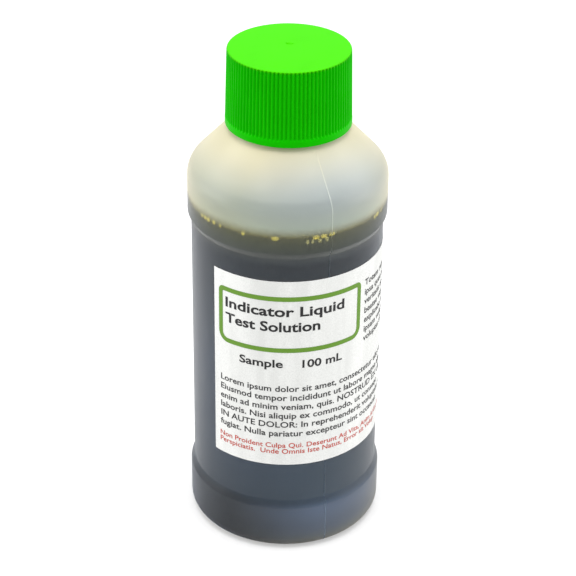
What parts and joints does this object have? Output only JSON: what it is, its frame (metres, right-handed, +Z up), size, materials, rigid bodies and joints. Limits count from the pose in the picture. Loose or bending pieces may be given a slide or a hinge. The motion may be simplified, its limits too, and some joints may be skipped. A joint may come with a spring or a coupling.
{
  "type": "dropper bottle",
  "caption": "Round squeeze dropper bottle with a recessed label panel, domed shoulder, press-in dropper plug and a ribbed screw cap, filled with dark indicator solution.",
  "frame": {"origin": "middle of the base, on the plane the standing ring rests on", "axes": "+Z up along the bottle's axis, -Y towards the front of the label, +X to the right of it"},
  "size_m": [0.0436, 0.0436, 0.1145],
  "materials": {
    "bottle_plastic": "natural translucent polyethylene, as blow-moulded",
    "cap_plastic": "green injection-moulded polypropylene, satin",
    "liner_foam": "white foamed polyethylene sheet",
    "plug_plastic": "natural low-density polyethylene, soft satin",
    "label_paper": "white coated paper, printed",
    "solution_liquid": "dark blue-black aqueous solution, clear liquid surface"
  },
  "bodies": {
    "bottle": {"bottle": "bottle_plastic", "dropper_plug": "plug_plastic", "label": "label_paper", "solution": "solution_liquid"},
    "liner": {"cap_liner": "liner_foam"},
    "cap": {"cap": "cap_plastic"}
  },
  "joints": [
    {"name": "cap_climb", "type": "slide", "parent": "bottle", "child": "liner", "axis": [0, 0, 1], "range_m": [0, 0.0225]},
    {"name": "cap_turn", "type": "hinge", "parent": "liner", "child": "cap", "pos_m": [0, 0, 0.1], "axis": [0, 0, 1], "range_deg": [0, 2520]}
  ],
  "couplings": [
    {"joint": "cap_climb", "follows": "cap_turn", "m_per_rad": 0.00050532}
  ]
}
